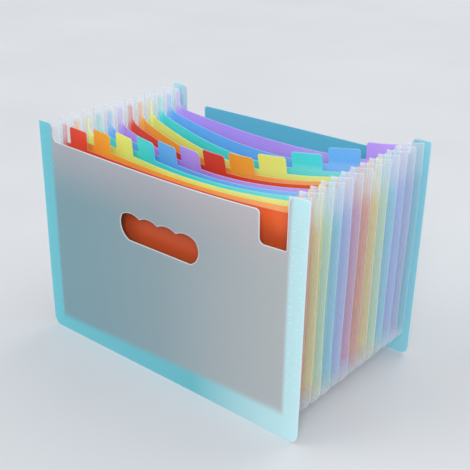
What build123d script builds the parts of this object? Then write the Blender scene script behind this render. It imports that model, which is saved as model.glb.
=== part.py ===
"""Accordion file: two stiff covers, coloured dividers that bow towards the front between them, and a
clear folded gusset round the sides and the bottom of every pocket. Millimetres, +Z up, front at -Y."""
from build123d import *
import math
import os

os.makedirs("parts", exist_ok=True)

# Pockets, counted from the front
pocket_count = 13
pocket_pitch = 15.2
weld_gap = 0.1

# Covers, the same sheet at the front and, turned round, at the back
cover_width = 330.0
cover_height = 234.0
cover_thickness = 1.0
cover_corner_radius = 10.0
cover_ear_width = 20.5
cover_ear_height = 18.5
cover_ear_inner_radius = 6.0
cover_ear_outer_radius = 2.0
notch_width = 27.0
notch_depth = 31.0
notch_mouth_radius = 4.0
notch_root_radius = 5.0
notch_ear_radius = 2.0

# Hand hole with finger lobes along its top
hole_width = 100.0
hole_foot_width = 79.0
hole_height = 29.0
hole_drop = 47.0
lobe_count = 4
lobe_pitch = 23.4
lobe_rise = 3.5

# Dividers
divider_thickness = 0.5
divider_inset = 17.0
divider_foot = 27.0
divider_corner_radius = 10.0
divider_ear_width = 6.5
divider_ear_corner_radius = 1.5
divider_ear_drop = 4.5
divider_edge_drop = 4.2
tab_width = 28.0
tab_height = 17.8
tab_corner_steps = 3
tab_left_inset = 12.0
tab_right_inset = 9.0
tab_corner_radius = 3.0

# Flat margin along the foot of each divider, and the bow of its loose middle, stronger on the right
foot_margin = 5.0
first_bow_share = 0.7
bow_rise_power = 0.75
bow_fall_power = 5.0
bow_skew_share = 0.38

# Gussets
gusset_thickness = 0.4
gusset_depth = 13.0
gusset_lap = 4.5
gusset_drop = 1.0

# Places that follow from the sizes above
divider_count = pocket_count - 1
panel_top = cover_height - cover_ear_height
divider_width = cover_width - 2 * divider_inset
divider_top = cover_height - divider_ear_drop
edge_top = panel_top - divider_edge_drop
gusset_top = cover_height - gusset_drop
panel_foot = divider_foot + foot_margin
panel_half_width = divider_width / 2 - divider_ear_width
pocket_clear = pocket_pitch - cover_thickness / 2 - divider_thickness / 2
first_bow = first_bow_share * pocket_clear
file_depth = pocket_count * pocket_pitch
front_y = -file_depth / 2
tab_pitch = (divider_width - tab_left_inset - tab_right_inset - tab_width) / (divider_count - 1)


def sheet_y(number):
    """Middle of a sheet's thickness at its edges: 0 is the front cover, then the dividers."""
    return front_y + number * pocket_pitch


def sheet_half(number):
    """Half the thickness of a sheet, cover or divider."""
    if 0 < number < pocket_count:
        return divider_thickness / 2
    return cover_thickness / 2


def bow(number):
    """How far the top edge of a divider leans to the front at mid width: more from sheet to sheet,
    and less again before the back cover."""
    def gain(count):
        share = count / pocket_count
        return share ** bow_rise_power * (1 - share ** bow_fall_power)

    return first_bow * gain(number) / gain(1)


def facing_front(y):
    return Plane(origin=(0, y, 0), x_dir=(1, 0, 0), z_dir=(0, -1, 0))


def facing_back(y):
    return Plane(origin=(0, y, 0), x_dir=(-1, 0, 0), z_dir=(0, 1, 0))


def cover(name, plane):
    """A flat sheet with an ear at each top corner, a notch by one ear and a hand hole."""
    half = cover_width / 2
    ear_edge = half - cover_ear_width
    notch_edge = ear_edge - notch_width
    notch_floor = panel_top - notch_depth
    corners = [
        (-half, 0, cover_corner_radius),
        (half, 0, cover_corner_radius),
        (half, cover_height, cover_ear_outer_radius),
        (ear_edge, cover_height, cover_ear_inner_radius),
        (ear_edge, notch_floor, notch_ear_radius),
        (notch_edge, notch_floor, notch_root_radius),
        (notch_edge, panel_top, notch_mouth_radius),
        (-ear_edge, panel_top, cover_ear_inner_radius),
        (-ear_edge, cover_height, cover_ear_inner_radius),
        (-half, cover_height, cover_ear_outer_radius),
    ]
    lobe_top = panel_top - hole_drop
    lobe_foot = lobe_top - lobe_rise
    hole_floor = lobe_top - hole_height
    hole_middle = (lobe_foot + hole_floor) / 2
    lobes_half = lobe_count * lobe_pitch / 2
    foot_half = hole_foot_width / 2
    with BuildPart() as sheet:
        with BuildSketch(plane):
            with BuildLine():
                FilletPolyline(*[c[:2] for c in corners], radius=[c[2] for c in corners], close=True)
            make_face()
            with BuildLine():
                Line((-foot_half, hole_floor), (foot_half, hole_floor))
                ThreePointArc((foot_half, hole_floor), (hole_width / 2, hole_middle), (lobes_half, lobe_foot))
                for lobe in range(lobe_count):
                    right = lobes_half - lobe * lobe_pitch
                    ThreePointArc(
                        (right, lobe_foot), (right - lobe_pitch / 2, lobe_top), (right - lobe_pitch, lobe_foot)
                    )
                ThreePointArc((-lobes_half, lobe_foot), (-hole_width / 2, hole_middle), (-foot_half, hole_floor))
            make_face(mode=Mode.SUBTRACT)
        extrude(amount=cover_thickness / 2, both=True)
    sheet.part.label = name
    export_step(sheet.part, f"parts/{name}.step")


def bowed_section(number, reach_share, left, right):
    """Section of a divider's loose middle, from left to right across it. At a reach of 1 it is the
    free edge, which has leant to the front and swung down. A longer reach carries the surface on."""
    rise = edge_top - panel_foot
    lean = bow(number)
    dip = rise - math.sqrt(rise ** 2 - lean ** 2)
    swing = math.hypot(lean, dip)
    half_shift = divider_thickness / 2 * swing / lean
    origin = (0, sheet_y(number), panel_foot + reach_share * rise)

    def pole(*ends):
        """Control point of the bow, a skewed parabola, for three of the ends of a stretch of it."""
        a, b, c = (end / panel_half_width for end in ends)
        middle = (a + b + c) / 3
        depth = (a * b + b * c + c * a) / 3 - 1 + bow_skew_share * (a * b * c - middle)
        return middle * panel_half_width, reach_share * swing * depth

    with BuildSketch(Plane(origin=origin, x_dir=(1, 0, 0), z_dir=(0, -dip, lean))) as section:
        with BuildLine():
            poles = [
                pole(left, left, left), pole(left, left, right), pole(left, right, right), pole(right, right, right)
            ]
            faces = []
            for shift in (-half_shift, half_shift):
                faces.append(Bezier(*[(x, depth + shift) for x, depth in poles]))
            Line(faces[0] @ 0, faces[1] @ 0)
            Line(faces[0] @ 1, faces[1] @ 1)
        make_face()
    return section.sketch


def divider(number):
    """A sheet whose welded edges are flat and whose loose middle bows to the front, with a narrow ear
    up each side and an index tab on the free edge."""
    name = f"divider_{number:02d}"
    tab_left = (number - 1) * tab_pitch + tab_left_inset - divider_width / 2
    with BuildPart() as sheet:
        # Flat weld margins along the foot and up both sides, where they end as ears
        with BuildSketch(facing_front(sheet_y(number))) as margins:
            with Locations((0, (divider_foot + divider_top) / 2)):
                Rectangle(divider_width, divider_top - divider_foot)
            fillet(margins.vertices().group_by(Axis.Y)[0], divider_corner_radius)
            with Locations((0, (panel_foot + cover_height) / 2)):
                Rectangle(2 * panel_half_width, cover_height - panel_foot, mode=Mode.SUBTRACT)
            fillet(margins.vertices().group_by(Axis.Y)[-1], divider_ear_corner_radius)
        extrude(amount=divider_thickness / 2, both=True)
        # Loose middle, straight along its foot
        with BuildSketch(Plane.XY.offset(panel_foot), mode=Mode.PRIVATE) as foot:
            with Locations((0, sheet_y(number))):
                Rectangle(2 * panel_half_width, divider_thickness)
        edge = bowed_section(number, 1, -panel_half_width, panel_half_width)
        loft([foot.sketch, edge], ruled=True)
        # Index tab, which carries the bowed surface on above the free edge and has rounded corners
        sections = [bowed_section(number, 1, tab_left, tab_left + tab_width)]
        for step in range(tab_corner_steps + 1):
            turn = math.pi / 2 * step / tab_corner_steps
            inset = tab_corner_radius * (1 - math.cos(turn))
            height = tab_height - tab_corner_radius * (1 - math.sin(turn))
            reach_share = 1 + height / (edge_top - panel_foot)
            sections.append(bowed_section(number, reach_share, tab_left + inset, tab_left + tab_width - inset))
        loft(sections, ruled=True)
    sheet.part.label = name
    export_step(sheet.part, f"parts/{name}.step")


def gusset(number):
    """A strip folded outwards into a V, welded by a flat lap to the sheets before and behind its
    pocket, down one side, along the bottom and up the other side."""
    name = f"gusset_{number:02d}"
    half = divider_width / 2
    front = sheet_y(number - 1) + sheet_half(number - 1) + weld_gap
    back = sheet_y(number) - sheet_half(number) - weld_gap
    fold_y = (front + back) / 2
    slope = math.atan2(fold_y - front, gusset_depth)
    root = gusset_thickness * math.tan(slope / 2)
    inner_depth = gusset_depth - gusset_thickness / math.sin(slope)
    corner = divider_corner_radius
    with BuildPart() as strip:
        with BuildLine() as route:
            FilletPolyline(
                (-half, 0, gusset_top), (-half, 0, divider_foot), (half, 0, divider_foot), (half, 0, gusset_top),
                radius=corner,
            )
        with BuildSketch(Plane.XY.offset(gusset_top)):
            with BuildLine():
                Polyline(
                    (-half + gusset_lap, front), (-half, front),
                    (-half - gusset_depth, fold_y),
                    (-half, back), (-half + gusset_lap, back),
                    (-half + gusset_lap, back - gusset_thickness), (-half + root, back - gusset_thickness),
                    (-half - inner_depth, fold_y),
                    (-half + root, front + gusset_thickness), (-half + gusset_lap, front + gusset_thickness),
                    close=True,
                )
            make_face()
        sweep(path=route.line)
    strip.part.label = name
    export_step(strip.part, f"parts/{name}.step")


cover("front_cover", facing_front(sheet_y(0)))
for index in range(1, pocket_count):
    divider(index)
cover("back_cover", facing_back(sheet_y(pocket_count)))
for index in range(1, pocket_count + 1):
    gusset(index)
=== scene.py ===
import math
import random

import bmesh
import bpy
from mathutils import Matrix, Quaternion, Vector


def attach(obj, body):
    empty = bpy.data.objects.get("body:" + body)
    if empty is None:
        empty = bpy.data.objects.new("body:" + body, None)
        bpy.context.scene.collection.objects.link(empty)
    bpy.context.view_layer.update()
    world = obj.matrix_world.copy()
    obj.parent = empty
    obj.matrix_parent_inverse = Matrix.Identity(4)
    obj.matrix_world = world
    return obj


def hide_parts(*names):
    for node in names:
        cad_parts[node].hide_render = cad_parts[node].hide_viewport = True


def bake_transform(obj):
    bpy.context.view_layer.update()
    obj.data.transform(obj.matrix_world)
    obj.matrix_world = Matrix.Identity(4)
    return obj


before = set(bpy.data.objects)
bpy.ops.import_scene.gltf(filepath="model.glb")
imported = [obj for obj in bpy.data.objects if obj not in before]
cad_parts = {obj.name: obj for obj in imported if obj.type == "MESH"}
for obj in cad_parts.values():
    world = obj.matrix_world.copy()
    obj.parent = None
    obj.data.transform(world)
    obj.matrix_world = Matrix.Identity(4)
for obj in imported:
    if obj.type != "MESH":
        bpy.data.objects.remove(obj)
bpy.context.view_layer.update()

# Pockets, counted from the front
pocket_count = 13
pocket_pitch = 0.0152
weld_gap = 0.0001

# Covers
cover_width = 0.330
cover_height = 0.234
cover_thickness = 0.001
cover_edge_radius = 0.0002
cover_corner_radius = 0.010
cover_ear_width = 0.0205
cover_ear_height = 0.0185
cover_ear_inner_radius = 0.006
cover_ear_outer_radius = 0.002
notch_width = 0.027
notch_depth = 0.031
notch_mouth_radius = 0.004
notch_root_radius = 0.005
notch_ear_radius = 0.002
cover_bulge = 0.007
bulge_power = 3
cut_band = 0.0008

# Slight waves of the covers: their height, and how they turn in radians for each metre across and up
cover_wave = 0.0003
first_wave = (21, 13)
second_wave = (-9, 34)
front_phase = 0.4
back_phase = 2.1

# Where a cover's colour changes: clear of the pockets beside and below them, and warmer near the top,
# where a glow of the sheet behind is painted in
strip_inner_edge = 0.1475
strip_upper_edge = 0.0215
strip_tilt_share = 0.034
strip_blend = 0.005
strip_turn_share = 0.68
strip_shade_share = 0.94
top_glow_from = 0.150
top_glow_share = 0.55

# Hand hole with finger lobes along its top
hole_width = 0.100
hole_foot_width = 0.079
hole_height = 0.029
hole_drop = 0.047
lobe_count = 4
lobe_pitch = 0.0234
lobe_rise = 0.0035

# Weld points in two columns down each side strip of a cover
dot_columns = (0.1512, 0.1594)
dot_pitch = 0.0076
dot_radius = 0.00125
dot_height = 0.00022
dot_margin = 0.014

# Dividers
divider_thickness = 0.0005
divider_inset = 0.017
divider_foot = 0.027
divider_corner_radius = 0.010
divider_ear_width = 0.0065
divider_ear_fillet = 0.008
divider_ear_corner_radius = 0.0015
divider_ear_drop = 0.0045
divider_edge_drop = 0.0042
tab_width = 0.028
tab_height = 0.0178
tab_left_inset = 0.012
tab_right_inset = 0.009
tab_corner_radius = 0.003
foot_margin = 0.005
edge_band = 0.0007

# Bow of the dividers, softened at the welds and stronger on the right
first_bow_share = 0.7
bow_rise_power = 0.75
bow_fall_power = 5.0
bow_skew_share = 0.38
weld_ease = 0.006
foot_ease_share = 0.012

# Gussets, whose folds are a little rounded and wander a little on their way round the pocket
gusset_thickness = 0.0004
gusset_depth = 0.013
gusset_lap = 0.0045
gusset_drop = 0.001
fold_round_share = 0.07
fold_wander = 0.0004
slow_wander_count = 3
quick_wander_count = 5
depth_wander_share = 0.03
depth_wander_count = 4
film_fade = 0.012
# Mark of the creases for the film's painted highlight, which is full on its fold and cut edges
crease_highlight = 0.5

# How finely the shapes are cut
cover_grid = 0.011
cover_corner_steps = 8
hole_end_steps = 14
lobe_steps = 12
dot_rings = 3
dot_spokes = 10
divider_columns = 60
divider_rows = 26
ear_corner_steps = 4
ear_fillet_steps = 7
ear_rows = 5
tab_corner_steps = 5
tab_columns = 8
tab_rows = 6
tab_rows_share = 0.95
column_gap = 0.0005
column_digits = 7
points_per_metre = 1e6
gusset_side_steps = 22
gusset_bend_steps = 9
gusset_foot_steps = 30
gusset_fold_steps = 16
fold_bunch_power = 1.4
lap_columns = 2

# A face of a cover is flat, or on a broad side, where this much of its normal lies along the thickness
flat_normal = 0.99
broad_normal = 0.9

# Frosted plastic, and the band that most values of a noise texture lie in
plastic_ior = 1.49
grain_strength = 0.35
grain_detail = 2.0
scuff_scale = (260.0, 60.0, 9.0)
scuff_detail = 4.0
scuff_spread = 0.07
cloud_detail = 3.0
noise_low = 0.3
noise_high = 0.7

# How far colours move towards white, towards the colour behind them or into shade
rim_white_share = 0.4
# Painted highlight along the free cut edges of the dividers
edge_highlight_share = 0.25
# Painted light towards the right of the dividers, whiter, and on the red one tinted by the orange sheet
lit_white_share = 0.3
lit_behind_share = 0.25
ear_white_share = 0.45
# Painted shade down inside the pockets, tinted towards the colour of the sheet behind
deep_behind_share = 0.16
deep_shade_share = 0.8
dot_white_share = 0.06
dot_white_right_share = 0.15
# Painted light that the film takes on from the coloured sheets
film_painted_glow_share = 0.45

# Places and lengths that follow from the sizes above
panel_top = cover_height - cover_ear_height
divider_width = cover_width - 2 * divider_inset
divider_top = cover_height - divider_ear_drop
edge_top = panel_top - divider_edge_drop
gusset_top = cover_height - gusset_drop
panel_foot = divider_foot + foot_margin
panel_half_width = divider_width / 2 - divider_ear_width
panel_rise = edge_top - panel_foot
pocket_clear = pocket_pitch - cover_thickness / 2 - divider_thickness / 2
front_y = -pocket_count * pocket_pitch / 2
tab_pitch = (divider_width - tab_left_inset - tab_right_inset - tab_width) / (pocket_count - 2)
merge_distance = cover_edge_radius / 20
marked_height = 3 * cover_ear_height

divider_names = [f"divider_{number:02d}" for number in range(1, pocket_count)]
sheet_names = ["front_cover"] + divider_names + ["back_cover"]
colour_names = ("red", "orange", "yellow", "green", "blue", "purple")


def sheet_y(number):
    """Middle of a sheet's thickness at its edges: 0 is the front cover, then the dividers."""
    return front_y + number * pocket_pitch


def sheet_half(number):
    """Half the thickness of a sheet, cover or divider."""
    if 0 < number < pocket_count:
        return divider_thickness / 2
    return cover_thickness / 2


def sheet_colour(number):
    """Name of a sheet's colour: the dividers go through the six colours twice."""
    if 0 < number < pocket_count:
        return colour_names[(number - 1) % len(colour_names)]
    return "aqua"


def bow(number):
    """How far the top edge of a divider leans to the front at mid width: more from sheet to sheet,
    and less again before the back cover."""
    def gain(count):
        share = count / pocket_count
        return share ** bow_rise_power * (1 - share ** bow_fall_power)

    return first_bow_share * pocket_clear * gain(number) / gain(1)


# Colours and shader nodes


def srgb(red, green, blue):
    """Linear colour of a display colour given in steps of 255."""
    def linear(value):
        value /= 255
        return value / 12.92 if value <= 0.04045 else ((value + 0.055) / 1.055) ** 2.4

    return linear(red), linear(green), linear(blue), 1.0


def shade(colour, share):
    """A colour made darker, or lighter where the share is above 1."""
    return tuple(min(1.0, channel * share) for channel in colour[:3]) + (1.0,)


def tint(colour, other, share):
    """A colour moved towards another by a share."""
    return tuple(a + (b - a) * share for a, b in zip(colour, other))


def root(colour):
    """Colour of light after half its way through a sheet."""
    return tuple(math.sqrt(channel) for channel in colour)


def add_node(tree, kind, inputs=None, **settings):
    """A node with its settings, and its inputs either linked to an output or set to a value."""
    made = tree.nodes.new(kind)
    for key, value in settings.items():
        setattr(made, key, value)
    for key, value in (inputs or {}).items():
        if isinstance(value, bpy.types.NodeSocket):
            tree.links.new(value, made.inputs[key])
        else:
            made.inputs[key].default_value = value
    return made


def new_tree(name):
    """A material with an empty node tree."""
    material = bpy.data.materials.new(name)
    material.use_nodes = True
    material.node_tree.nodes.clear()
    return material, material.node_tree


def place_on_part(tree):
    """Coordinates in the part's own frame."""
    return add_node(tree, "ShaderNodeTexCoord").outputs["Object"]


def axes_of_part(tree):
    """The same coordinates one by one, named X, Y and Z."""
    return add_node(tree, "ShaderNodeSeparateXYZ", {"Vector": place_on_part(tree)}).outputs


def highlight_mark(tree):
    """How far a mesh is marked as an edge, where a highlight is painted in."""
    return add_node(tree, "ShaderNodeAttribute", attribute_name="edge").outputs["Fac"]


def worked_out(tree, operation, *values):
    """Result of a calculation with one, two or three values."""
    return add_node(tree, "ShaderNodeMath", dict(enumerate(values)), operation=operation).outputs[0]


def noise(tree, place, scale, detail):
    """Noise texture."""
    made = add_node(tree, "ShaderNodeTexNoise", {"Vector": place, "Scale": scale, "Detail": detail})
    return made.outputs["Fac"]


def ramp(tree, factor, stops):
    """Colour ramp through (place, colour) stops."""
    made = add_node(tree, "ShaderNodeValToRGB", {"Fac": factor})
    elements = made.color_ramp.elements
    while len(elements) < len(stops):
        elements.new(0.5)
    for element, (place, colour) in zip(elements, stops):
        element.position = place
        element.color = colour
    return made.outputs["Color"]


def mix_colours(tree, factor, first, second):
    """Colour mix by a factor that varies over the surface."""
    # The node has its colours at inputs 6 and 7 and at output 2
    made = add_node(tree, "ShaderNodeMix", {"Factor": factor, 6: first, 7: second}, data_type="RGBA")
    return made.outputs[2]


def ranged(tree, value, low, high, to_low, to_high):
    """A value carried smoothly from one range to another."""
    made = add_node(
        tree, "ShaderNodeMapRange",
        {"Value": value, "From Min": low, "From Max": high, "To Min": to_low, "To Max": to_high},
        interpolation_type="SMOOTHSTEP",
    )
    return made.outputs["Result"]


def frosted(tree, paint, glow_paint, glow, clear, clear_tint, rough, grain, grain_depth):
    """Frosted sheet: a fine-grained matt face, light that passes through, and some plain view through."""
    place = place_on_part(tree)
    grains = noise(tree, place, grain, grain_detail)
    bump = add_node(
        tree, "ShaderNodeBump", {"Height": grains, "Strength": grain_strength, "Distance": grain_depth}
    )
    lie = bump.outputs["Normal"]
    stretched = add_node(tree, "ShaderNodeMapping", {"Vector": place, "Scale": scuff_scale})
    scuffs = noise(tree, stretched.outputs["Vector"], 1.0, scuff_detail)
    roughness = ranged(tree, scuffs, noise_low, noise_high, rough - scuff_spread, rough + scuff_spread)
    face = add_node(
        tree, "ShaderNodeBsdfPrincipled",
        {"Base Color": paint, "Roughness": roughness, "Normal": lie, "IOR": plastic_ior},
    )
    through = add_node(tree, "ShaderNodeBsdfTranslucent", {"Color": glow_paint, "Normal": lie})
    body = add_node(tree, "ShaderNodeMixShader", {"Fac": glow, 1: face.outputs[0], 2: through.outputs[0]})
    window = add_node(tree, "ShaderNodeBsdfTransparent", {"Color": clear_tint})
    film = add_node(tree, "ShaderNodeMixShader", {"Fac": clear, 1: body.outputs[0], 2: window.outputs[0]})
    add_node(tree, "ShaderNodeOutputMaterial", {"Surface": film.outputs[0]})


def clouded(tree, colour, scale, spread):
    """A colour that drifts a little lighter and darker over the sheet."""
    clouds = noise(tree, place_on_part(tree), scale, cloud_detail)
    darker = shade(colour, 1 - spread)
    lighter = shade(colour, 1 + spread)
    return ramp(tree, clouds, [(noise_low, darker), (noise_high, lighter)])


def divider_material(name, colour, edge_highlight_colour, lit_colour, ear_colour, pocket_shade_colour):
    """Tinted sheet that glows, with a painted highlight along its cut edges, painted light towards the
    right, where more light gets between the sheets, paler on its ears, where film is welded to both sides,
    and painted shade down inside the pocket, tinted towards the colour of the sheet behind showing through
    it."""
    material, tree = new_tree(name)
    axes = axes_of_part(tree)
    side = worked_out(tree, "ABSOLUTE", axes["X"])
    beside = ranged(tree, side, panel_half_width - weld_ease / 2, panel_half_width, 0.0, 1.0)
    above = ranged(tree, axes["Z"], edge_top - weld_ease, edge_top + weld_ease, 0.0, 1.0)
    ear = worked_out(tree, "MULTIPLY", beside, above)
    # Painted shade down inside the pocket, away from the ears and below the free edge
    within = ranged(tree, side, panel_half_width - divider_ear_width, panel_half_width, 1.0, 0.0)
    below = ranged(tree, axes["Z"], edge_top - notch_depth, edge_top - weld_ease, 1.0, 0.0)
    pocket_shade = worked_out(tree, "MULTIPLY", within, below)
    # Painted light towards the right, below the free edge
    right = ranged(tree, axes["X"], 0.0, panel_half_width, 0.0, 1.0)
    under = ranged(tree, axes["Z"], edge_top - weld_ease / 2, edge_top + weld_ease / 2, 1.0, 0.0)
    lit = worked_out(tree, "MULTIPLY", right, under)
    paint = clouded(tree, colour, scale=14.0, spread=0.05)
    # Painted highlight along the free cut edges
    paint = mix_colours(tree, highlight_mark(tree), paint, edge_highlight_colour)
    paint = mix_colours(tree, lit, paint, lit_colour)
    paint = mix_colours(tree, ear, paint, ear_colour)
    paint = mix_colours(tree, pocket_shade, paint, pocket_shade_colour)
    light = mix_colours(tree, ear, root(colour), root(ear_colour))
    frosted(
        tree, paint, light, glow=0.38, clear=0.10, clear_tint=light, rough=0.42,
        grain=1500.0, grain_depth=0.0001,
    )
    return material


def rim_material(name, colour):
    """Cut edge of a sheet, which carries light out of it."""
    material, tree = new_tree(name)
    paint = clouded(tree, colour, scale=60.0, spread=0.05)
    frosted(
        tree, paint, paint, glow=0.45, clear=0.03, clear_tint=colour, rough=0.3,
        grain=2500.0, grain_depth=0.00008,
    )
    return material


def cover_material(name, left, middle, right, top, strip_left, strip_right):
    """Frosted cover: aqua where it stands clear of the pockets, greyed where the pockets lie behind it by
    the painted colour of the sheets seen through it, lighter or darker from side to side by painted light,
    and with a painted glow near the top.
    """
    material, tree = new_tree(name)
    axes = axes_of_part(tree)
    side = worked_out(tree, "ABSOLUTE", axes["X"])
    half_blend = strip_blend / 2
    beside = ranged(tree, side, strip_inner_edge - half_blend, strip_inner_edge + half_blend, 0.0, 1.0)
    tilted = worked_out(tree, "MULTIPLY_ADD", axes["X"], -strip_tilt_share, axes["Z"])
    below = ranged(tree, tilted, strip_upper_edge - strip_blend, strip_upper_edge + strip_blend, 1.0, 0.0)
    strips = worked_out(tree, "MAXIMUM", beside, below)
    share = ranged(tree, axes["X"], -cover_width / 2, cover_width / 2, 0.0, 1.0)
    # Painted colour of the sheets seen through the centre, lighter or darker from side to side by painted
    # light
    centre = ramp(tree, share, [(0.0, left), (0.5, middle), (1.0, right)])
    painted_top_glow = ranged(tree, axes["Z"], top_glow_from, panel_top, 0.0, top_glow_share)
    centre = mix_colours(tree, painted_top_glow, centre, top)
    # Strips lighter or darker from side to side by painted light, with painted shade partway across
    strip_middle = shade(strip_left, strip_shade_share)
    strip = ramp(tree, share, [(0.0, strip_left), (strip_turn_share, strip_middle), (1.0, strip_right)])
    paint = mix_colours(tree, strips, centre, strip)
    # Painted highlight along the cut edges and round the hand hole
    paint = mix_colours(tree, highlight_mark(tree), paint, cut_highlight_white)
    frosted(
        tree, paint, paint, glow=0.35, clear=0.08, clear_tint=srgb(190, 235, 240), rough=0.46,
        grain=1100.0, grain_depth=0.00015,
    )
    return material


def film_material(name, colour, painted_glow_colour, glow, clear, top_clear, low_clear, highlight_clear, rough):
    """Clear film, a little milky, whiter at its top and foot, with a painted highlight along its folds and
    cut edges. Down the sides it is painted with the coloured light of the sheet that it is welded to."""
    material, tree = new_tree(name)
    height = axes_of_part(tree)["Z"]
    upper = ranged(tree, height, panel_top - film_fade, panel_top + film_fade / 2, clear, top_clear)
    lower = ranged(tree, height, divider_foot - gusset_depth, divider_foot + gusset_depth, low_clear, clear)
    see_through = worked_out(tree, "MINIMUM", upper, lower)
    # Painted highlight: the film turns milkier along its folds and cut edges
    see_through = ranged(tree, highlight_mark(tree), 0.0, 1.0, see_through, highlight_clear)
    # Painted coloured light of the sheet, down the sides between the top and the foot
    under_top = ranged(tree, height, panel_top - 2 * film_fade, panel_top, 1.0, 0.0)
    over_foot = ranged(tree, height, divider_foot, divider_foot + divider_corner_radius, 0.0, 1.0)
    beside = worked_out(tree, "MINIMUM", under_top, over_foot)
    paint = clouded(tree, colour, scale=25.0, spread=0.04)
    paint = mix_colours(tree, beside, paint, tint(colour, painted_glow_colour, film_painted_glow_share))
    frosted(
        tree, paint, paint, glow=glow, clear=see_through, clear_tint=clear_film, rough=rough,
        grain=2200.0, grain_depth=0.00002,
    )
    return material


def fold_material(colour_name, painted_glow_colour):
    """Film of a gusset, painted with the coloured light of a sheet."""
    return film_material(
        f"gusset_film_painted_glow_{colour_name}", milky_film, painted_glow_colour,
        glow=0.12, clear=0.86, top_clear=0.90, low_clear=0.78, highlight_clear=0.42, rough=0.3,
    )


white = (1.0, 1.0, 1.0, 1.0)
aqua = srgb(124, 208, 220)
pale_aqua = srgb(206, 237, 241)
# Cut edges, and the painted highlight along them
cut_highlight_white = srgb(230, 239, 242)
clear_film = srgb(252, 253, 254)
milky_film = srgb(232, 236, 240)
divider_colours = {
    "red": srgb(234, 80, 52),
    "orange": srgb(252, 186, 66),
    "yellow": srgb(242, 250, 138),
    "green": srgb(86, 232, 240),
    "blue": srgb(128, 198, 254),
    "purple": srgb(208, 172, 248),
}
# Front cover: sheets behind painted into its colour, lighter to the right by painted light, pink glow at top
front_paint = cover_material(
    "front_cover_frosted",
    left=srgb(138, 174, 184), middle=srgb(158, 179, 187), right=srgb(192, 197, 199), top=srgb(208, 195, 202),
    strip_left=aqua, strip_right=pale_aqua,
)
# Back cover: strips painted lighter against the shade on the inner faces of its ears
back_paint = cover_material(
    "back_cover_frosted",
    left=srgb(112, 200, 216), middle=srgb(106, 196, 215), right=srgb(112, 200, 216), top=srgb(106, 196, 215),
    strip_left=srgb(172, 226, 236), strip_right=srgb(158, 218, 230),
)
cover_rim = rim_material("cover_cut_edge", cut_highlight_white)
# Pale weld points, lighter on the right by the same painted light as the cover's strips
dot_paint = cover_material(
    "weld_point", left=aqua, middle=aqua, right=aqua, top=aqua,
    strip_left=tint(aqua, white, dot_white_share),
    strip_right=tint(pale_aqua, white, dot_white_right_share),
)
weld_paint = film_material(
    "gusset_weld", srgb(238, 242, 245), white,
    glow=0.35, clear=0.82, top_clear=0.62, low_clear=0.70, highlight_clear=0.50, rough=0.36,
)
film_paints = {"aqua": fold_material("aqua", aqua)}
divider_paints = {}
divider_rims = {}
for index, colour_name in enumerate(colour_names):
    colour = divider_colours[colour_name]
    behind = divider_colours[colour_names[(index + 1) % len(colour_names)]]
    # Painted light towards the right of each divider
    lit = tint(colour, white, lit_white_share)
    if colour_name == "red":
        # The red sheet is bare in the front notch, where its painted light is tinted by the orange one
        # behind it
        lit = tint(colour, behind, lit_behind_share)
    divider_paints[colour_name] = divider_material(
        f"divider_{colour_name}_sheet", colour,
        # Painted highlight along the free cut edges
        edge_highlight_colour=tint(colour, white, edge_highlight_share),
        lit_colour=lit,
        ear_colour=tint(colour, white, ear_white_share),
        # Painted shade down inside the pocket, tinted by the sheet behind
        pocket_shade_colour=shade(tint(colour, behind, deep_behind_share), deep_shade_share),
    )
    divider_rims[colour_name] = rim_material(
        f"divider_{colour_name}_edge", tint(colour, white, rim_white_share)
    )
    film_paints[colour_name] = fold_material(colour_name, colour)


# Meshes


def add_object(name, mesh, materials):
    """An object in the scene with its materials."""
    made = bpy.data.objects.new(name, mesh)
    for material in materials:
        mesh.materials.append(material)
    bpy.context.scene.collection.objects.link(made)
    return made


def thicken(made, thickness, rim_index):
    """Gives a single sheet its thickness. The rim takes the material that is rim_index places further on."""
    solid = made.modifiers.new("thickness", "SOLIDIFY")
    solid.thickness = thickness
    solid.offset = 0
    solid.use_even_offset = True
    solid.material_offset_rim = rim_index
    graph = bpy.context.evaluated_depsgraph_get()
    made.data = bpy.data.meshes.new_from_object(made.evaluated_get(graph))
    made.modifiers.clear()


def soften(mesh, degrees):
    """Smooth shading, but for edges sharper than an angle."""
    mesh.shade_smooth()
    mesh.set_sharp_from_angle(angle=math.radians(degrees))


def rounded_outline(corners, steps):
    """Closed outline through (x, z, radius) corners, each rounded by an arc."""
    points = []
    for index, (x, z, radius) in enumerate(corners):
        corner = Vector((x, z))
        before = (Vector(corners[index - 1][:2]) - corner).normalized()
        after = (Vector(corners[(index + 1) % len(corners)][:2]) - corner).normalized()
        half_angle = before.angle(after) / 2
        middle = corner + (before + after).normalized() * radius / math.sin(half_angle)
        start = corner + before * radius / math.tan(half_angle) - middle
        finish = corner + after * radius / math.tan(half_angle) - middle
        sweep = start.angle_signed(finish)
        for step in range(steps + 1):
            points.append(middle + Matrix.Rotation(-sweep * step / steps, 2) @ start)
    return points


def arc_through(start, middle, finish, steps):
    """Points on the arc through three points, without the last one."""
    a, b, c = Vector(start), Vector(middle), Vector(finish)
    # The centre of the circle, from the triangle between the three points
    four_areas = 2 * (a.x * (b.y - c.y) + b.x * (c.y - a.y) + c.x * (a.y - b.y))
    a_square, b_square, c_square = a.length_squared, b.length_squared, c.length_squared
    centre = Vector((
        (a_square * (b.y - c.y) + b_square * (c.y - a.y) + c_square * (a.y - b.y)) / four_areas,
        (a_square * (c.x - b.x) + b_square * (a.x - c.x) + c_square * (b.x - a.x)) / four_areas,
    ))
    sweep = (a - centre).angle_signed(b - centre) + (b - centre).angle_signed(c - centre)
    return [centre + Matrix.Rotation(-sweep * step / steps, 2) @ (a - centre) for step in range(steps)]


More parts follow.
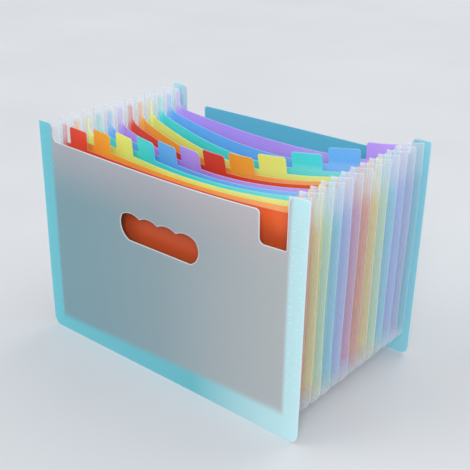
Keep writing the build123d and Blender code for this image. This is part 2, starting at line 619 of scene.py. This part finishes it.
def cover_outline():
    """Outline of a cover seen from outside, with its ears and its notch."""
    half = cover_width / 2
    ear_edge = half - cover_ear_width
    notch_edge = ear_edge - notch_width
    notch_floor = panel_top - notch_depth
    corners = [
        (-half, 0, cover_corner_radius),
        (half, 0, cover_corner_radius),
        (half, cover_height, cover_ear_outer_radius),
        (ear_edge, cover_height, cover_ear_inner_radius),
        (ear_edge, notch_floor, notch_ear_radius),
        (notch_edge, notch_floor, notch_root_radius),
        (notch_edge, panel_top, notch_mouth_radius),
        (-ear_edge, panel_top, cover_ear_inner_radius),
        (-ear_edge, cover_height, cover_ear_inner_radius),
        (-half, cover_height, cover_ear_outer_radius),
    ]
    return rounded_outline(corners, cover_corner_steps)


def hand_hole_outline():
    """Outline of the hand hole, straight below, round at the ends and lobed above."""
    half = hole_width / 2
    lobe_top = panel_top - hole_drop
    lobe_foot = lobe_top - lobe_rise
    floor = lobe_top - hole_height
    middle = (lobe_foot + floor) / 2
    lobes_half = lobe_count * lobe_pitch / 2
    foot_half = hole_foot_width / 2
    points = arc_through((foot_half, floor), (half, middle), (lobes_half, lobe_foot), hole_end_steps)
    for lobe in range(lobe_count):
        right = lobes_half - lobe * lobe_pitch
        left = right - lobe_pitch
        peak = right - lobe_pitch / 2
        points += arc_through((right, lobe_foot), (peak, lobe_top), (left, lobe_foot), lobe_steps)
    points += arc_through((-lobes_half, lobe_foot), (-half, middle), (-foot_half, floor), hole_end_steps)
    points.append(Vector((-foot_half, floor)))
    return points


def swell(x):
    """Share of its bow that a sheet has at a place across it: none past the welds, more on the right."""
    inside = max(0.0, panel_half_width - abs(x))
    share = 1 - (min(abs(x), panel_half_width) / panel_half_width) ** 2
    return share * (1 - math.exp(-(inside / weld_ease) ** 2)) * (1 + bow_skew_share * x / panel_half_width)


def sheet_wave(x, z, phase, bulge):
    """Slight unevenness of a large stiff sheet, less its bulge, which grows towards the upper edge."""
    first = math.sin(first_wave[0] * x + first_wave[1] * z + phase)
    second = math.sin(second_wave[0] * x + second_wave[1] * z + 2 * phase)
    height_share = max(0.0, (z - panel_foot) / (panel_top - panel_foot))
    return cover_wave * (first + second) / 2 - bulge * swell(x) * height_share ** bulge_power


def cover(name, turn, y, paint, phase, bulge):
    """A stiff sheet with softened cut edges, cut into a grid so that it can be a little uneven."""
    outline = bpy.data.curves.new(name, "CURVE")
    outline.dimensions = "2D"
    outline.fill_mode = "BOTH"
    outline.extrude = cover_thickness / 2 - cover_edge_radius
    outline.bevel_depth = cover_edge_radius
    outline.bevel_resolution = 2
    outline.offset = -cover_edge_radius
    for points in (cover_outline(), hand_hole_outline()):
        spline = outline.splines.new("POLY")
        spline.points.add(len(points) - 1)
        for point, place in zip(spline.points, points):
            point.co = (place.x, place.y, 0, 1)
        spline.use_cyclic_u = True
    holder = bpy.data.objects.new(name, outline)
    mesh = bpy.data.meshes.new_from_object(holder)
    bpy.data.objects.remove(holder)
    mesh.name = name
    mesh.transform(Matrix.Rotation(math.radians(90), 4, "X"))
    shape = bmesh.new()
    shape.from_mesh(mesh)
    bmesh.ops.remove_doubles(shape, verts=shape.verts[:], dist=merge_distance)
    # A band along the cut edges, across which their mark for the painted highlight fades
    shape.normal_update()
    flat = [face for face in shape.faces if abs(face.normal.y) > flat_normal]
    bmesh.ops.inset_region(shape, faces=flat, thickness=cut_band, use_even_offset=True)
    layer = shape.verts.layers.float.new("edge")
    shape.normal_update()
    for vertex in shape.verts:
        vertex[layer] = float(any(abs(face.normal.y) < flat_normal for face in vertex.link_faces))
    # The grid
    for axis, low, high in ((0, -cover_width / 2, cover_width / 2), (2, 0, cover_height)):
        normal = Vector([float(index == axis) for index in range(3)])
        for step in range(1, int((high - low) / cover_grid)):
            bmesh.ops.bisect_plane(
                shape, geom=shape.verts[:] + shape.edges[:] + shape.faces[:],
                plane_co=normal * (low + step * cover_grid), plane_no=normal,
            )
    bmesh.ops.dissolve_degenerate(shape, edges=shape.edges[:], dist=merge_distance)
    for face in shape.faces:
        face.material_index = 0 if abs(face.normal.y) > broad_normal else 1
    for vertex in shape.verts:
        vertex.co.y += sheet_wave(vertex.co.x, vertex.co.z, phase, bulge)
    shape.to_mesh(mesh)
    shape.free()
    mesh.transform(Matrix.Translation((0, y, 0)) @ Matrix.Rotation(turn, 4, "Z"))
    soften(mesh, degrees=40)
    made = add_object(f"{name}_sheet", mesh, [paint, cover_rim])
    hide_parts(name)
    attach(made, name)


def add_dome(shape, x, y, z):
    """A small flat dome on the front of a sheet."""
    rings = []
    for ring in range(dot_rings):
        lift = math.pi / 2 * ring / dot_rings
        radius = dot_radius * math.cos(lift)
        level = y - dot_height * math.sin(lift)
        points = []
        for spoke in range(dot_spokes):
            turn = 2 * math.pi * spoke / dot_spokes
            place = (x + radius * math.cos(turn), level, z + radius * math.sin(turn))
            points.append(shape.verts.new(place))
        rings.append(points)
    for lower, upper in zip(rings, rings[1:]):
        for spoke in range(dot_spokes):
            after = (spoke + 1) % dot_spokes
            shape.faces.new((lower[spoke], lower[after], upper[after], upper[spoke]))
    shape.faces.new(rings[-1])
    shape.faces.new(rings[0][::-1])


def weld_points(name, turn, y, phase, bulge):
    """Two staggered columns of small flat domes down each side strip of a cover."""
    shape = bmesh.new()
    for side in (-1, 1):
        for column, x in enumerate(dot_columns):
            z = dot_margin + column * dot_pitch / 2
            while z < cover_height - dot_margin / 2:
                outward = -cover_thickness / 2 + sheet_wave(side * x, z, phase, bulge)
                add_dome(shape, side * x, outward, z)
                z += dot_pitch
    mesh = bpy.data.meshes.new(name)
    shape.to_mesh(mesh)
    shape.free()
    mesh.transform(Matrix.Translation((0, y, 0)) @ Matrix.Rotation(turn, 4, "Z"))
    soften(mesh, degrees=60)
    made = add_object(f"{name}_weld_points", mesh, [dot_paint])
    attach(made, name)


class Sheet:
    """Grid of a divider in flat coordinates (across, up), where shared points are made once."""

    def __init__(self, number):
        self.number = number
        self.points = []
        self.faces = []
        self.known = {}

    def place(self, x, up):
        """Where a flat point comes to lie on the bowed sheet."""
        lean = bow(self.number)
        dip = panel_rise - math.sqrt(panel_rise ** 2 - lean ** 2)
        reach = max(0.0, (up - panel_foot) / panel_rise)
        eased = reach - foot_ease_share * (1 - math.exp(-reach / foot_ease_share))
        z = up
        if reach > 0:
            z = panel_foot + reach * (panel_rise - dip * swell(x))
        return x, sheet_y(self.number) - eased * lean * swell(x), z

    def point(self, x, up):
        """Number of a point, which is made when it is first asked for."""
        key = (round(x * points_per_metre), round(up * points_per_metre))
        if key not in self.known:
            self.known[key] = len(self.points)
            self.points.append(self.place(x, up))
        return self.known[key]

    def band(self, columns, low, high, shares):
        """Faces between two curves over the given columns, in rows at the given shares of the height."""
        rows = [
            [self.point(x, low(x) + (high(x) - low(x)) * share) for share in shares] for x in columns
        ]
        for left, right in zip(rows, rows[1:]):
            for index in range(len(shares) - 1):
                ring = [left[index], right[index], right[index + 1], left[index + 1]]
                ring = [corner for turn, corner in enumerate(ring) if corner != ring[turn - 1]]
                if len(ring) > 2:
                    self.faces.append(ring)


def spread(low, high, steps):
    """Evenly spaced places from low to high."""
    return [low + (high - low) * step / steps for step in range(steps + 1)]


def quarter(radius, steps):
    """Places along a quarter circle's radius, closer together where it is steep."""
    return [radius * (1 - math.cos(math.pi / 2 * step / steps)) for step in range(steps + 1)]


def divider(number):
    """A bowed sheet with its ears, their rounded feet and its index tab."""
    name = sheet_names[number]
    colour_name = sheet_colour(number)
    sheet = Sheet(number)
    half = divider_width / 2
    tab_left = -half + tab_left_inset + (number - 1) * tab_pitch
    tab_right = tab_left + tab_width

    # Heights over a place across the sheet
    def foot(x):
        past = max(0.0, abs(x) - half + divider_corner_radius)
        return divider_foot + divider_corner_radius - math.sqrt(divider_corner_radius ** 2 - past ** 2)

    def edge(x):
        return edge_top

    def fillet_top(x):
        run = min(divider_ear_fillet, max(0.0, panel_half_width - abs(x)))
        left_over = divider_ear_fillet - run
        return edge_top + divider_ear_fillet - math.sqrt(divider_ear_fillet ** 2 - left_over ** 2)

    def ear_shoulder(x):
        return edge_top + divider_ear_fillet

    def ear_top(x):
        past = max(0.0, abs(x) - half + divider_ear_corner_radius)
        past = max(past, panel_half_width + divider_ear_corner_radius - abs(x))
        rise = math.sqrt(max(0.0, divider_ear_corner_radius ** 2 - past ** 2))
        return divider_top - divider_ear_corner_radius + rise

    def tab_top(x):
        past = max(0.0, tab_left + tab_corner_radius - x, x - tab_right + tab_corner_radius)
        rise = math.sqrt(max(0.0, tab_corner_radius ** 2 - past ** 2))
        return edge_top + tab_height - tab_corner_radius + rise

    def in_order(places):
        """Places from left to right, each of them once."""
        return sorted(set(round(x, column_digits) for x in places))

    # Columns of the ears, their feet and the tab, then even ones wherever none of these are
    ear_corner = quarter(divider_ear_corner_radius, ear_corner_steps)
    ear_places = ear_corner + [divider_ear_width - place for place in ear_corner]
    fillet_places = [divider_ear_width + place for place in quarter(divider_ear_fillet, ear_fillet_steps)]
    tab_corner = quarter(tab_corner_radius, tab_corner_steps)
    tab = in_order(
        [tab_left + place for place in tab_corner]
        + spread(tab_left + tab_corner_radius, tab_right - tab_corner_radius, tab_columns)
        + [tab_right - place for place in tab_corner]
    )
    ears = []
    fillets = []
    for side in (-1, 1):
        ears.append(in_order(side * (half - place) for place in ear_places))
        fillet = in_order(side * (half - place) for place in fillet_places)
        if tab_left > fillet[-1] or tab_right < fillet[0]:
            fillets.append(fillet)
    groups = ears + fillets + [tab]
    columns = [
        x for x in spread(-panel_half_width, panel_half_width, divider_columns)
        if not any(group[0] - column_gap < x < group[-1] + column_gap for group in groups)
    ]
    for group in groups:
        columns += group
    columns = sorted(set(columns))

    inner_share = 1 - edge_band / (edge_top - divider_foot)
    margin_share = foot_margin / (edge_top - divider_foot)
    rows = [0.0] + spread(margin_share, inner_share, divider_rows) + [1.0]
    sheet.band(columns, foot, edge, rows)
    rows = spread(0, 1, ear_rows)
    for group in ears:
        sheet.band(group, edge, ear_shoulder, rows)
        sheet.band(group, ear_shoulder, ear_top, rows)
    for group in fillets:
        sheet.band(group, edge, fillet_top, rows)
    sheet.band(tab, edge, tab_top, spread(0, tab_rows_share, tab_rows) + [1.0])

    mesh = bpy.data.meshes.new(name)
    mesh.from_pydata(sheet.points, [], sheet.faces)
    mark_edges(mesh)
    made = add_object(f"{name}_sheet", mesh, [divider_paints[colour_name], divider_rims[colour_name]])
    thicken(made, divider_thickness, rim_index=1)
    soften(made.data, degrees=40)
    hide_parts(name)
    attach(made, name)


def mark_edges(mesh):
    """Marks the points on the free upper edges of a sheet, where a paler highlight is painted into the
    material.
    """
    shape = bmesh.new()
    shape.from_mesh(mesh)
    layer = shape.verts.layers.float.new("edge")
    highest = max(vertex.co.z for vertex in shape.verts)
    for edge in shape.edges:
        if edge.is_boundary:
            for vertex in edge.verts:
                if vertex.co.z > highest - marked_height:
                    vertex[layer] = 1.0
    bmesh.ops.recalc_face_normals(shape, faces=shape.faces[:])
    shape.to_mesh(mesh)
    shape.free()


def gusset_route():
    """Points (x, z) round a pocket from the top left to the top right, with the way out at each."""
    half = divider_width / 2
    bend = divider_corner_radius
    heights = [gusset_top] + spread(gusset_top - edge_band, divider_foot + bend, gusset_side_steps)

    def round_bend(middle_x, start):
        middle = Vector((middle_x, divider_foot + bend))
        for step in range(1, gusset_bend_steps):
            turn = start + math.pi / 2 * step / gusset_bend_steps
            out = Vector((math.cos(turn), math.sin(turn)))
            route.append((middle + out * bend, out))

    route = [(Vector((-half, z)), Vector((-1, 0))) for z in heights]
    round_bend(-half + bend, math.pi)
    for x in spread(-half + bend, half - bend, gusset_foot_steps):
        route.append((Vector((x, divider_foot)), Vector((0, -1))))
    round_bend(half - bend, 1.5 * math.pi)
    for z in reversed(heights):
        route.append((Vector((half, z)), Vector((1, 0))))
    return route


def gusset_section():
    """Points (depth, across) of a film from one sheet to the next: a flat lap, the fold and another lap."""
    reach = math.sqrt(1 + fold_round_share ** 2)
    section = [(-gusset_lap, -1.0), (-gusset_lap / 2, -1.0)]
    for place in spread(-1, 1, gusset_fold_steps):
        across = math.copysign(abs(place) ** fold_bunch_power, place)
        depth = (reach - math.hypot(across, fold_round_share)) / (reach - fold_round_share)
        section.append((gusset_depth * depth, across))
    return section + [(-gusset_lap / 2, 1.0), (-gusset_lap, 1.0)]


def gusset(number):
    """A film folded outwards round a pocket, with a flat weld along the sheet before and behind it."""
    name = f"gusset_{number:02d}"
    middle_gap = weld_gap + gusset_thickness / 2
    front = sheet_y(number - 1) + sheet_half(number - 1) + middle_gap
    back = sheet_y(number) - sheet_half(number) - middle_gap
    fold_y = (front + back) / 2
    section = gusset_section()
    route = gusset_route()
    width = len(section)
    creases = (lap_columns, width - 1 - lap_columns)
    chance = random.Random(number)
    phases = [chance.uniform(0, 2 * math.pi) for _ in range(3)]
    points, faces, welds, edges = [], [], [], []
    for index, (place, out) in enumerate(route):
        along = index / len(route) * 2 * math.pi
        slow = math.sin(slow_wander_count * along + phases[0])
        quick = math.sin(quick_wander_count * along + phases[1])
        wander = fold_wander * (slow + quick) / 2
        deeper = 1 + depth_wander_share * math.sin(depth_wander_count * along + phases[2])
        top_edge = index in (0, len(route) - 1)
        for column, (depth, across) in enumerate(section):
            # Marks for the painted highlight: full on the cut top ends and the fold, part on the creases
            crease = crease_highlight if column in creases else 0.0
            edges.append(1.0 if top_edge or across == 0 else crease)
            x, z = place + out * (depth * deeper if depth > 0 else depth)
            points.append((x, fold_y + across * (back - front) / 2 + wander * (1 - abs(across)), z))
    for row in range(len(route) - 1):
        for column in range(width - 1):
            first = row * width + column
            faces.append((first, first + 1, first + width + 1, first + width))
            welds.append(not creases[0] <= column < creases[1])
    mesh = bpy.data.meshes.new(name)
    mesh.from_pydata(points, [], faces)
    for polygon, weld in zip(mesh.polygons, welds):
        polygon.material_index = 1 if weld else 0
    mesh.attributes.new("edge", "FLOAT", "POINT").data.foreach_set("value", edges)
    made = add_object(f"{name}_film", mesh, [film_paints[sheet_colour(number)], weld_paint])
    thicken(made, gusset_thickness, rim_index=0)
    soften(made.data, degrees=50)
    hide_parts(name)
    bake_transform(made)


half_turn = math.pi
cover("front_cover", 0, sheet_y(0), front_paint, front_phase, cover_bulge)
weld_points("front_cover", 0, sheet_y(0), front_phase, cover_bulge)
cover("back_cover", half_turn, sheet_y(pocket_count), back_paint, back_phase, 0.0)
weld_points("back_cover", half_turn, sheet_y(pocket_count), back_phase, 0.0)
for index in range(1, pocket_count):
    divider(index)
for index in range(1, pocket_count + 1):
    gusset(index)


# Floor, light and camera


def floor(half):
    """Plain pale floor."""
    mesh = bpy.data.meshes.new("floor")
    corners = [(-half, -half, 0), (half, -half, 0), (half, half, 0), (-half, half, 0)]
    mesh.from_pydata(corners, [], [(0, 1, 2, 3)])
    material, tree = new_tree("floor_pale")
    specks = noise(tree, place_on_part(tree), scale=3.0, detail=2.0)
    paint = ramp(tree, specks, [(noise_low, srgb(196, 199, 203)), (noise_high, srgb(201, 204, 208))])
    face = add_node(tree, "ShaderNodeBsdfPrincipled", {"Base Color": paint, "Roughness": 0.55})
    add_node(tree, "ShaderNodeOutputMaterial", {"Surface": face.outputs[0]})
    add_object("floor", mesh, [material])


def lamp(name, way, spread_degrees, power):
    """Wide soft light that comes from one way."""
    data = bpy.data.lights.new(name, "SUN")
    data.angle = math.radians(spread_degrees)
    data.energy = power
    made = bpy.data.objects.new(name, data)
    made.location = way
    made.rotation_euler = (-Vector(way)).to_track_quat("-Z", "Y").to_euler()
    bpy.context.scene.collection.objects.link(made)


def camera(place, aim, roll_degrees, lens, shift):
    """Camera at the photograph's viewing angle."""
    data = bpy.data.cameras.new("camera")
    data.lens = lens
    data.shift_x, data.shift_y = shift
    made = bpy.data.objects.new("camera", data)
    made.location = place
    made.rotation_mode = "QUATERNION"
    aimed = (Vector(aim) - Vector(place)).to_track_quat("-Z", "Y")
    made.rotation_quaternion = aimed @ Quaternion((0, 0, 1), math.radians(roll_degrees))
    bpy.context.scene.collection.objects.link(made)
    bpy.context.scene.camera = made


floor(half=6.0)
scene = bpy.context.scene
scene.world = bpy.data.worlds.new("studio")
scene.world.use_nodes = True
sky = scene.world.node_tree.nodes["Background"]
sky.inputs["Color"].default_value = (0.96, 0.975, 1.0, 1.0)
sky.inputs["Strength"].default_value = 0.5
lamp("key", way=(0.9, -1.2, 1.0), spread_degrees=30, power=2.4)
lamp("fill", way=(-1.1, -0.9, 1.3), spread_degrees=45, power=0.8)
lamp("back", way=(0.2, 1.0, 1.2), spread_degrees=50, power=0.9)
camera(
    place=(0.5074, -0.6143, 0.4834), aim=(0.0, -0.01985, 0.11438), roll_degrees=0.37, lens=65.53,
    shift=(0.043, 0.0285),
)
scene.view_settings.view_transform = "Standard"
scene.cycles.transparent_max_bounces = 32
